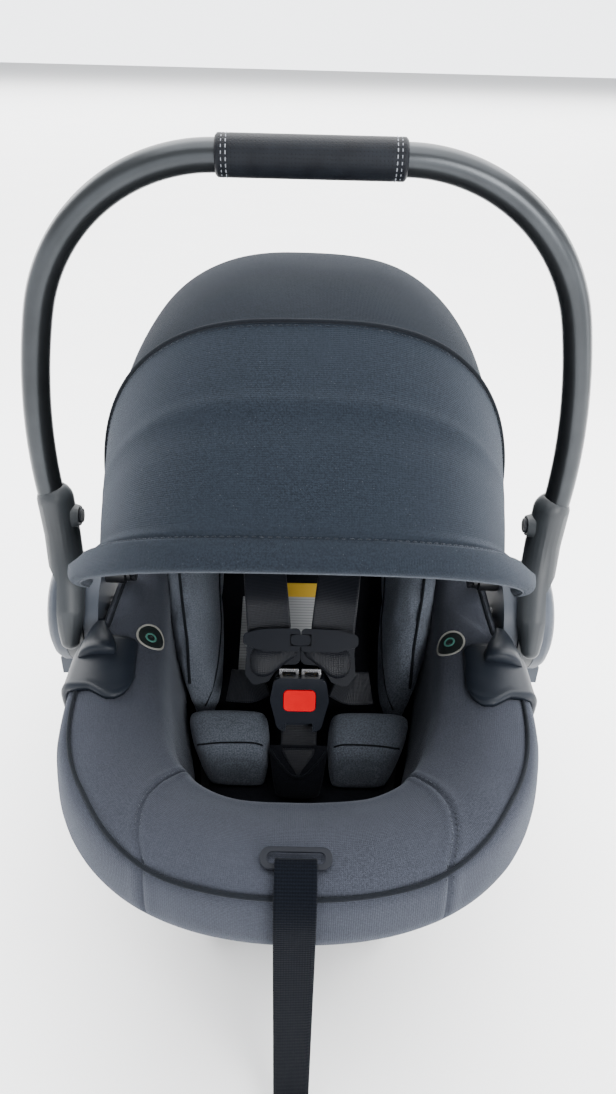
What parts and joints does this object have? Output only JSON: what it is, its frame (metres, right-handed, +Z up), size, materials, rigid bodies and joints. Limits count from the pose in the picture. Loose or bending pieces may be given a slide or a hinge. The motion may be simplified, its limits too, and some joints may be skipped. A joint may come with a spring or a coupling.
{
  "type": "infant carrier car seat",
  "caption": "Rear-facing infant carrier seat: moulded tub on rails, padded cover, swinging tube handle, folding canopy, harness with buckle, chest clip and adjuster strap.",
  "frame": {"origin": "centre of the footprint's bounding box, on the floor, measured without the free adjuster strap", "axes": "+Z up, -Y towards the child's feet, +X to the child's left; the seat is a mirror image about the YZ plane"},
  "size_m": [0.4418, 0.7215, 0.6226],
  "materials": {
    "shell_plastic": "satin",
    "skid_plastic": "matte",
    "latch_steel": "satin",
    "foam": "matte",
    "cover_fabric": "matte",
    "insert_fabric": "matte",
    "guide_plastic": "satin",
    "hub_plastic": "satin",
    "handle_tube": "satin",
    "grip_leather": "matte",
    "canopy_fabric": "matte",
    "bow_plastic": "matte",
    "webbing": "satin",
    "harness_plastic": "satin",
    "buckle_grey": "satin",
    "red_button": "gloss",
    "label_white": "matte"
  },
  "bodies": {
    "root": {"shell": "shell_plastic", "skid_left": "skid_plastic", "skid_right": "skid_plastic", "latch_bar_front": "latch_steel", "latch_bar_rear": "latch_steel", "bar_brackets": "skid_plastic", "foam_ring": "foam", "seat_cover": "cover_fabric", "seat_lining": "cover_fabric", "back_pad": "cover_fabric", "bolster_left": "insert_fabric", "bolster_right": "insert_fabric", "thigh_pad_left": "insert_fabric", "thigh_pad_right": "insert_fabric", "head_pad": "insert_fabric", "belt_guide_left": "guide_plastic", "belt_guide_right": "guide_plastic", "hub_base_left": "hub_plastic", "hub_base_right": "hub_plastic", "hub_cover_left": "hub_plastic", "hub_cover_right": "hub_plastic", "pivot_bolt_left": "latch_steel", "pivot_bolt_right": "latch_steel", "hub_screws": "latch_steel", "canopy_pivot_left": "hub_plastic", "canopy_pivot_right": "hub_plastic", "shoulder_straps": "webbing", "shoulder_pads": "webbing", "hip_straps": "webbing", "crotch_strap": "webbing", "crotch_pad": "webbing", "buckle_front": "buckle_grey", "buckle_back": "harness_plastic", "buckle_tongues": "latch_steel", "adjuster_body": "latch_steel", "adjuster_pin": "latch_steel", "adjuster_bezel": "hub_plastic", "adjuster_strap": "webbing", "strap_end": "webbing", "care_labels": "label_white", "release_bezel": "hub_plastic", "canopy_rear_panel": "canopy_fabric"},
    "handle": {"handle_tube": "handle_tube", "grip_sleeve": "grip_leather", "arm_left": "hub_plastic", "arm_right": "hub_plastic"},
    "handle_button_left": {"handle_button_left": "hub_plastic"},
    "handle_button_right": {"handle_button_right": "hub_plastic"},
    "canopy_ridge": {"ridge_bow": "bow_plastic", "canopy_front_panel": "canopy_fabric"},
    "canopy_front": {"front_bow": "bow_plastic", "canopy_brim": "canopy_fabric"},
    "chest_clip": {"chest_clip_left": "harness_plastic", "chest_clip_right": "harness_plastic"},
    "chest_clip_button": {"chest_clip_button": "harness_plastic"},
    "buckle_button": {"buckle_button": "red_button"},
    "adjuster_lever": {"adjuster_lever": "hub_plastic"},
    "release_handle": {"release_handle": "hub_plastic"},
    "adapter_latch_left": {"adapter_latch_left": "latch_steel"},
    "adapter_latch_right": {"adapter_latch_right": "latch_steel"}
  },
  "joints": [
    {"name": "handle_swing", "type": "hinge", "parent": "root", "child": "handle", "pos_m": [0, -0.003, 0.236], "axis": [1, 0, 0], "range_deg": [-112, 68]},
    {"name": "handle_button_left_press", "type": "slide", "parent": "handle", "child": "handle_button_left", "axis": [-1, 0, 0], "range_m": [0, 0.0015], "stiffness_N_per_m": 600},
    {"name": "handle_button_right_press", "type": "slide", "parent": "handle", "child": "handle_button_right", "axis": [1, 0, 0], "range_m": [0, 0.0015], "stiffness_N_per_m": 600},
    {"name": "canopy_fold", "type": "hinge", "parent": "root", "child": "canopy_ridge", "pos_m": [0, -0.003, 0.272], "axis": [1, 0, 0], "range_deg": [-74, 0], "deforming": ["canopy_rear_panel"]},
    {"name": "canopy_front_fold", "type": "hinge", "parent": "canopy_ridge", "child": "canopy_front", "pos_m": [0, -0.003, 0.272], "axis": [1, 0, 0], "range_deg": [-22, 0], "deforming": ["canopy_front_panel"]},
    {"name": "chest_clip_slide", "type": "slide", "parent": "root", "child": "chest_clip", "axis": [0, 0.6626, 0.749], "range_m": [0, 0.01]},
    {"name": "chest_clip_press", "type": "slide", "parent": "chest_clip", "child": "chest_clip_button", "axis": [0, 0.749, -0.6626], "range_m": [0, 0.0018], "stiffness_N_per_m": 500},
    {"name": "buckle_press", "type": "slide", "parent": "root", "child": "buckle_button", "axis": [0, 0.9397, -0.342], "range_m": [0, 0.0022], "stiffness_N_per_m": 2000},
    {"name": "adjuster_lift", "type": "hinge", "parent": "root", "child": "adjuster_lever", "pos_m": [0, -0.28, 0.24625], "axis": [1, 0, 0], "range_deg": [-22, 0], "stiffness_Nm_per_rad": 0.05},
    {"name": "release_lift", "type": "slide", "parent": "root", "child": "release_handle", "axis": [0, 0.342, 0.9397], "range_m": [0, 0.008], "stiffness_N_per_m": 900},
    {"name": "latch_left_draw", "type": "slide", "parent": "root", "child": "adapter_latch_left", "axis": [0, -1, 0], "range_m": [0, 0.004]},
    {"name": "latch_right_draw", "type": "slide", "parent": "root", "child": "adapter_latch_right", "axis": [0, -1, 0], "range_m": [0, 0.004]}
  ],
  "couplings": [
    {"joint": "canopy_front_fold", "follows": "canopy_fold", "ratio": 0.27},
    {"joint": "latch_left_draw", "follows": "release_lift", "ratio": 0.5},
    {"joint": "latch_right_draw", "follows": "release_lift", "ratio": 0.5}
  ]
}
